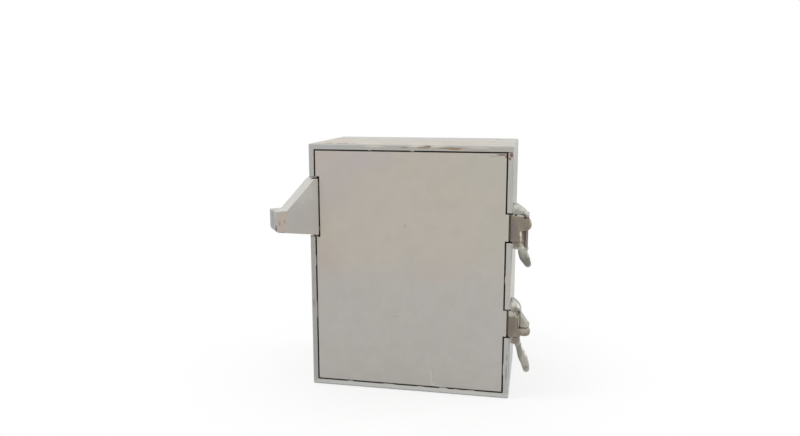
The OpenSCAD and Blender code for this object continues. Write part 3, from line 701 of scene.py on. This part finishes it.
# name: (nodes, width of the soft edges, grid step, depth of the waves, seed), in millimetres
PLATES = {
    "case_shell": (["case_top", "case_bottom", "case_left", "case_right", "case_jamb_upper",
                    "case_jamb_lower"], 0.8, 14, 0.25, 1),
    "door_face": (["door_skin"], 0.7, 10, 0.3, 2),
    "back_plate": (["case_back"], 0.8, 20, 0.2, 3),
    "inner_panel": (["door_inner_panel"], 0.5, 16, 0.2, 4),
}
BARS = ["stop_top", "stop_bottom", "stop_left", "stop_right", "door_stile_latch",
        "door_stile_hinge", "door_rail_top", "door_rail_bottom"]
for seed, bar in enumerate(BARS, 5):
    PLATES[bar + "_bar"] = ([bar], 0.7, 24, 0.1, seed)

# name: (nodes, voxel, passes of wear, lift, mate), in millimetres
CASTINGS = {
    "lever_body": (["latch_lever", "latch_barrel", "latch_tooth"], 0.8, 5, 0, None),
    "leaf_upper": (["hinge_leaf_upper"], 0.5, 8, 0.1, "hinge_bracket_upper"),
    "leaf_lower": (["hinge_leaf_lower"], 0.5, 8, 0.1, "hinge_bracket_lower"),
    "bracket_upper": (["hinge_bracket_upper"], 0.55, 26, 0.1, "hinge_leaf_upper"),
    "bracket_lower": (["hinge_bracket_lower"], 0.55, 26, 0.1, "hinge_leaf_lower"),
}

# name: (node, width of its broken rims), in millimetres
TURNED = {
    "pin_upper": ("hinge_pin_upper", 0.6),
    "pin_lower": ("hinge_pin_lower", 0.6),
    "lever_pin": ("latch_pin", 0.4),
    "washer_upper": ("hinge_washer_upper", 0.25),
    "washer_lower": ("hinge_washer_lower", 0.4),
    "lever_washers": ("latch_washers", 0.15),
    "lever_mount": ("latch_mount", 0.5),
}

# painted plates and bars have soft edges, and faces that aren't quite flat
for name, (members, width, step, depth, seed) in PLATES.items():
    plate = union(name, body_of[members[0]], members)
    applied(soften(plate, width * MM))
    hand_made(gridded(plate, step * MM), depth * MM, WANDER_SIZE, seed)
    smooth(slotted_as(plate, slot_of[members[0]]))

for name, (members, voxel, passes, lift, mate) in CASTINGS.items():
    casting = cast(name, body_of[members[0]], members, voxel * MM, passes, lift * MM, mate)
    slotted_as(casting, slot_of[members[0]])

for name, (node, rim) in TURNED.items():
    turned = union(name, body_of[node], [node])
    applied(soften(turned, rim * MM, 3))
    smooth(slotted_as(turned, slot_of[node]))


# ---------- screws ----------

HEAD_TO_SHANK = 1.9             # a head's radius in shank radii
HEAD_THICKNESS = 1.1            # a head's thickness in shank radii
TIP_RADIUS = 0.6                # in shank radii
TIP_LENGTH = 0.5 * MM           # the length of the tip's chamfer
DOME_TURNS = (0, 0.35, 0.7, 1.05, 1.4)                # along a domed head, in radians
FLAT_HEAD = ((0.98, -0.12 * MM), (0.93, 0), (0.3, 0))   # (radius in head radii, height)
SLOT_LENGTH, SLOT_WIDTH, SLOT_DEPTH = 3, 0.28, 0.25     # in head radii
SCREW_EDGE = 0.08 * MM          # the width of a screw's soft edges
FIRST_TURN, NEXT_TURN = 20, 37  # degrees: how the slots of a row are turned


def islands(node):
    """The boxes of a node's separate solids."""
    bm = merged(nodes[node].data)
    left, boxes = set(bm.verts), []
    while left:
        group, edge = set(), [left.pop()]
        while edge:
            vert = edge.pop()
            group.add(vert)
            fresh = {e.other_vert(vert) for e in vert.link_edges} & left
            left -= fresh
            edge.extend(fresh)
        boxes.append(extent(group))
    bm.free()
    return sorted(boxes, key=lambda box: (box[0].z, box[0].x))


def lathe(profile, steps=32):
    """A bmesh turned from (radius, height) points about Z, closed at both ends."""
    bm = bmesh.new()
    turns = [2 * math.pi * i / steps for i in range(steps)]
    rings = [[bm.verts.new((radius * math.cos(turn), radius * math.sin(turn), height))
              for turn in turns] for radius, height in profile]
    skinned(bm, rings)
    bm.faces.new(list(reversed(rings[0])))
    bm.faces.new(rings[-1])
    return bm


def slotted(profile, head_r):
    """A turned screw with a slot across its head, as a mesh along Z, the head's top at 0."""
    screw = linked("screw", plain_mesh(lathe(profile), "screw"))
    bm = bmesh.new()
    size = (SLOT_LENGTH * head_r, SLOT_WIDTH * head_r, 2 * SLOT_DEPTH * head_r, 1)
    bmesh.ops.create_cube(bm, size=1, matrix=Matrix.Diagonal(size))
    tool = linked("slot", plain_mesh(bm, "slot"))
    boolean(screw, tool, "DIFFERENCE")
    mesh = applied(soften(screw, SCREW_EDGE, 1)).data
    bpy.data.objects.remove(tool)
    bpy.data.objects.remove(screw)
    return mesh


def screw_profile(head_r, length, domed):
    """A screw's outline as (radius, height) points from its tip to its head."""
    shank_r = head_r / HEAD_TO_SHANK
    head_t = shank_r * HEAD_THICKNESS
    shank = [(TIP_RADIUS * shank_r, -length), (shank_r, -length + TIP_LENGTH),
             (shank_r, -head_t)]
    if domed:
        return shank + [(head_r * math.cos(turn), head_t * (math.sin(turn) - 1))
                        for turn in DOME_TURNS]
    return shank + [(head_r * share, height) for share, height in FLAT_HEAD]


def screws(name, node, along, domed):
    """A slotted screw in each place of a node. along is the axis its head points along."""
    boxes = islands(node)
    lo, hi = boxes[0]
    across = (along + 1) % 3
    head_r = (hi[across] - lo[across]) / 2
    mesh = slotted(screw_profile(head_r, hi[along] - lo[along], domed), head_r)
    upright = unit(along).to_track_quat("Z", "Y").to_matrix().to_4x4()
    bm = bmesh.new()
    for i, (lo, hi) in enumerate(boxes):
        place = (lo + hi) / 2
        place[along] = hi[along]
        slot_turn = Matrix.Rotation(math.radians(NEXT_TURN * i + FIRST_TURN), 4, "Z")
        start = len(bm.verts)
        bm.from_mesh(mesh)
        bm.verts.ensure_lookup_table()
        bmesh.ops.transform(bm, matrix=Matrix.Translation(place) @ upright @ slot_turn,
                            verts=bm.verts[start:])
    obj = new_piece(name, plain_mesh(bm, name), body_of[node])
    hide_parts(node)
    smooth(slotted_as(obj, slot_of[node]), 30)


screws("panel_screws_slotted", "panel_screws", Y, True)
screws("bracket_screws_slotted", "bracket_screws", X, False)
screws("leaf_screws_slotted", "leaf_screws", Y, False)
screws("mount_screws_slotted", "latch_mount_screws", Y, False)


# ---------- weld beads ----------

RIPPLE = 1.1 * MM               # the length of one ripple
BEAD_ARC = 4                    # the steps across a bead's round face
BEAD_LEG, TACK_LEG = 3 * MM, 1.5 * MM
BEAD_ROOT = 0.3 * MM            # how deep a bead's back lies in the corner
TACK_LENGTH = 24 * MM
SIDE_TACKS = (0.12, 0.4, 0.88)  # where tacks start, as shares of the height
LEVEL_TACKS = (0.12, 0.5, 0.82)


def bead(bm, start, end, u, v, leg):
    """A rippled fillet weld along a corner, from start to end. u and v point out of the corner."""
    start, end, u, v = Vector(start), Vector(end), Vector(u), Vector(v)
    run = end - start
    count = max(int(run.length / RIPPLE), 3)
    rings = []
    for i in range(count + 1):
        at = start + run * (i / count)
        ripple = 0.82 + 0.18 * (1 - (i % 3) / 2)
        uneven = 0.1 * noise.noise(at * 90)
        taper = min(1, 0.45 + min(i, count - i) / 4)
        size = leg * (ripple + uneven) * taper
        ring = []
        for k in range(BEAD_ARC + 1):
            turn = math.pi / 2 * k / BEAD_ARC
            bulge = 0.78 + 0.22 * abs(math.cos(2 * turn))
            out = u * math.cos(turn) + v * math.sin(turn)
            ring.append(bm.verts.new(at + out * size * bulge))
        ring.append(bm.verts.new(at - (u + v) * BEAD_ROOT))
        rings.append(ring)
    skinned(bm, rings)
    bm.faces.new(rings[0])
    bm.faces.new(list(reversed(rings[-1])))


def welds(name):
    """Beads along the inner corners of the case, and tacks where the stop bars are welded."""
    bm = bmesh.new()
    x0, x1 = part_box("case_left")[1].x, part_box("case_right")[0].x
    z0, z1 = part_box("case_bottom")[1].z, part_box("case_top")[0].z
    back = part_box("case_back")[0].y
    stop_front, stop_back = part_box("stop_left")[0].y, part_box("stop_left")[1].y
    forward = (0, -1, 0)
    for x, side in ((x0, 1), (x1, -1)):
        inward = (side, 0, 0)
        bead(bm, (x, back, z0), (x, back, z1), inward, forward, BEAD_LEG)
        for z, up in ((z0, 1), (z1, -1)):
            bead(bm, (x, stop_back, z), (x, back, z), inward, (0, 0, up), BEAD_LEG)
        for share in SIDE_TACKS:
            z = z0 + (z1 - z0) * share
            bead(bm, (x, stop_front, z), (x, stop_front, z + TACK_LENGTH), inward, forward,
                 TACK_LEG)
    for z, up in ((z0, 1), (z1, -1)):
        inward = (0, 0, up)
        bead(bm, (x0, back, z), (x1, back, z), inward, forward, BEAD_LEG)
        for share in LEVEL_TACKS:
            x = x0 + (x1 - x0) * share
            bead(bm, (x, stop_front, z), (x + TACK_LENGTH, stop_front, z), inward, forward,
                 TACK_LEG)
    bmesh.ops.recalc_face_normals(bm, faces=bm.faces)
    obj = new_piece(name, plain_mesh(bm, name), "case")
    smooth(slotted_as(obj, "case_paint"), 60)


welds("weld_beads")


# ---------- paint that has run and dried ----------

RUN_STEPS = 5                   # the rings from one point of a run to the next
RUN_HALF = 3                    # the steps from its middle to its side
SUNK = 0.1 * MM                 # how deep its sides lie in the paint below
PAINT_ANGLE = 80                # degrees: dried paint has no sharp edges
LUMPINESS = 0.25                # how far a lump strays from an ellipsoid, as a share
LUMP_WAVES = 1.3                # how many waves go round a lump
LUMP_APART = 5.0                # how far apart the noise of two lumps lies


def paint_run(name, body, slot_name, points, width, height):
    """A low ridge of dried paint along points on the front, thinning at its ends."""
    bm = bmesh.new()
    path = [Vector(point) * MM for point in points]
    fine = [a.lerp(b, t / RUN_STEPS) for a, b in zip(path, path[1:]) for t in range(RUN_STEPS)]
    fine.append(path[-1])
    rings = []
    for i, at in enumerate(fine):
        ahead = (fine[min(i + 1, len(fine) - 1)] - fine[max(i - 1, 0)]).normalized()
        side = ahead.cross(Vector((0, 1, 0))).normalized()
        grow = math.sin(math.pi * (i + 0.6) / (len(fine) + 0.2)) ** 0.6
        ring = []
        for k in range(2 * RUN_HALF + 1):
            across = k / RUN_HALF - 1
            lift = math.cos(across * math.pi / 2) * height * grow
            ring.append(bm.verts.new(at + side * across * width * grow
                                     - Vector((0, lift - SUNK, 0))))
        rings.append(ring)
    skinned(bm, rings, closed=False)
    bmesh.ops.recalc_face_normals(bm, faces=bm.faces)
    obj = new_piece(name, plain_mesh(bm, name), body)
    smooth(slotted_as(obj, slot_name), PAINT_ANGLE)


def paint_lumps(name, body, slot_name, places):
    """Small lumps of paint: each is (centre, half sizes) in millimetres."""
    bm = bmesh.new()
    for i, (centre, half) in enumerate(places):
        start = len(bm.verts)
        bmesh.ops.create_icosphere(bm, subdivisions=3, radius=1)
        bm.verts.ensure_lookup_table()
        for v in bm.verts[start:]:
            away = Vector((i * LUMP_APART, 0, 0))
            lumpy = 1 + LUMPINESS * noise.noise(v.co * LUMP_WAVES + away)
            v.co = Vector([centre[k] * MM + v.co[k] * half[k] * MM * lumpy for k in range(3)])
    obj = new_piece(name, plain_mesh(bm, name), body)
    smooth(slotted_as(obj, slot_name), PAINT_ANGLE)


CREASE = [(36.5, -92, 40), (35.2, -92, 31), (35, -92, 23), (37, -92, 16), (41.5, -92, 12),
          (47, -92, 11)]
paint_run("paint_crease", "door", "door_paint", CREASE, 1.5 * MM, 0.7 * MM)

# name: (body, slot, places)
LUMPS = {
    "paint_in_gap": ("case", "case_paint", [
        ((-148.6, -88, 322.4), (1.3, 3.5, 1.5)), ((-146, -90.4, 322.3), (3.4, 1.2, 1.4)),
        ((-146, -90.2, 234), (3.5, 1.4, 1.5)), ((53, -91.2, 8.6), (6.5, 0.9, 1.2)),
        ((18, -91, 8.2), (5, 0.9, 0.8)), ((72, -91, 8.2), (4, 0.9, 0.8)),
        ((5.6, -91, 363.4), (3.2, 0.9, 0.9)), ((-57, -91, 363.5), (2, 0.9, 0.8)),
        ((-90, -91, 8.3), (5, 0.9, 0.9)), ((-30, -91, 8.2), (9, 0.9, 0.8)),
        ((95, -91, 8.2), (7, 0.9, 0.8)), ((-141.6, -91, 196), (0.8, 0.9, 9)),
        ((-141.5, -91, 120), (0.7, 0.9, 16)), ((141.6, -91, 180), (0.8, 0.9, 6)),
        ((141.6, -91, 45), (0.7, 0.9, 10))]),
    "paint_on_door": ("door", "door_paint", [
        ((-140.6, -90.6, 322.7), (3.2, 1.2, 0.85)), ((-139, -90.6, 233.6), (1.6, 1.2, 0.8))]),
    "paint_on_brackets": ("case", "case_paint", [
        ((150.3, -89.4, UPPER + 27.5), (1.7, 1.6, 5.5)),
        ((150.3, -89.4, LOWER + 27.5), (1.7, 1.6, 5.5)),
        ((150.3, -89.4, UPPER - 25.5), (1.5, 1.6, 3.6)),
        ((150.3, -89.4, LOWER - 25.5), (1.5, 1.6, 3.6))]),
    "paint_under_noses": ("case", "bracket_paint", [
        ((171, -88.4, LOWER - 5.15), (6.2, 1.7, 0.8))]),
    "paint_on_leaves": ("door", "bracket_paint", [
        ((162.1, -90.1, LOWER + 6), (1.3, 0.8, 11)),
        ((154.5, -91.2, LOWER + 19.9), (3.4, 0.45, 0.7))]),
}
for name, (body, slot_name, places) in LUMPS.items():
    paint_lumps(name, body, slot_name, places)


# ---------- stage, light and camera ----------

FLOOR_HALF = 4
SHADOW_ZONE = (0.18, 0.45)      # the floor turns plain white between these distances
WHITE_SHARE = (0.72, 1)         # how white it is within and beyond
AMBIENT = 0.5                   # the world's strength as a light; the camera sees it as 1

MIDDLE = (0, 0, 0.19)           # what the lights point at
LIGHTS = {                      # name: (place, size, power)
    "top": ((-0.3, 0.1, 1.9), 1.4, 10),
    "left": ((-1.4, -0.7, 1.9), 1.0, 12),
    "right": ((1.7, 0.35, 0.8), 1.0, 12),
    "front": ((0.3, -2.2, 0.7), 1.6, 8),
}

# the photograph's camera, fitted to the case's edges; the image is in pixels, angles in radians
IMAGE = (800, 436)
IMAGE_CENTRE = (404.88, 209.61)
PIXEL_FOCAL = 686.3
SENSOR = 36                     # the sensor's width in millimetres
CAMERA_PLACE = (0.18137, -1.05588, 0.44069)
YAW, PITCH = -0.191, -0.164


def floor_material(name):
    """A pale floor: it keeps the object's shadow, and is plain white further out."""
    p = Paint(name)
    p.finish(Base_Color=FLOOR_WHITE, Roughness=0.9, Specular_IOR_Level=0.1)
    seen = p.add("ShaderNodeLightPath").outputs["Is Camera Ray"]
    white_share = p.ramp(p.vector("LENGTH", p.at), *SHADOW_ZONE, *WHITE_SHARE)
    blend = p.add("ShaderNodeMixShader")
    p.plug(blend.inputs[0], p.times(seen, white_share))
    p.plug(blend.inputs[1], p.shader.outputs[0])
    p.plug(blend.inputs[2], p.add("ShaderNodeEmission").outputs[0])
    p.plug(p.tree.nodes["Material Output"].inputs[0], blend.outputs[0])
    return p.material


def build_floor():
    mesh = bpy.data.meshes.new("floor")
    corners = [(x * FLOOR_HALF, y * FLOOR_HALF, 0) for x, y in ((-1, -1), (1, -1), (1, 1), (-1, 1))]
    mesh.from_pydata(corners, [], [(0, 1, 2, 3)])
    mesh.materials.append(floor_material("floor_white"))
    linked("floor", mesh)


def build_world():
    """A world that is white where it is seen or mirrored, and dimmer as a light."""
    world = bpy.data.worlds.new("studio")
    world.use_nodes = True
    scene.world = world
    tree = world.node_tree
    paths = tree.nodes.new("ShaderNodeLightPath")
    seen = paths.outputs["Is Camera Ray"]
    for ray in ("Is Glossy Ray", "Is Transmission Ray"):
        either = tree.nodes.new("ShaderNodeMath")
        either.operation = "MAXIMUM"
        tree.links.new(seen, either.inputs[0])
        tree.links.new(paths.outputs[ray], either.inputs[1])
        seen = either.outputs[0]
    strength = tree.nodes.new("ShaderNodeMapRange")
    tree.links.new(seen, strength.inputs["Value"])
    strength.inputs["To Min"].default_value = AMBIENT
    strength.inputs["To Max"].default_value = 1
    background = tree.nodes["Background"]
    background.inputs["Color"].default_value = (1, 1, 1, 1)
    tree.links.new(strength.outputs[0], background.inputs["Strength"])


def softbox(name, place, size, power):
    """A square light that points at the middle of the object."""
    light = bpy.data.lights.new(name, "AREA")
    light.shape = "SQUARE"
    light.size = size
    light.energy = power
    obj = linked(name, light)
    obj.location = place
    obj.rotation_euler = (Vector(MIDDLE) - Vector(place)).to_track_quat("-Z", "Y").to_euler()


def photo_camera():
    """The camera that took the photograph."""
    data = bpy.data.cameras.new("camera")
    data.sensor_width = SENSOR
    data.lens = PIXEL_FOCAL / IMAGE[0] * SENSOR
    data.shift_x = (IMAGE[0] / 2 - IMAGE_CENTRE[0]) / IMAGE[0]
    data.shift_y = (IMAGE_CENTRE[1] - IMAGE[1] / 2) / IMAGE[0]
    obj = linked("camera", data)
    obj.location = CAMERA_PLACE
    looking = Vector((math.sin(YAW) * math.cos(PITCH), math.cos(YAW) * math.cos(PITCH),
                      math.sin(PITCH)))
    obj.rotation_euler = looking.to_track_quat("-Z", "Y").to_euler()
    return obj


build_floor()
build_world()
for name, (place, size, power) in LIGHTS.items():
    softbox(name, place, size, power)
scene.camera = photo_camera()
scene.view_settings.view_transform = "Standard"
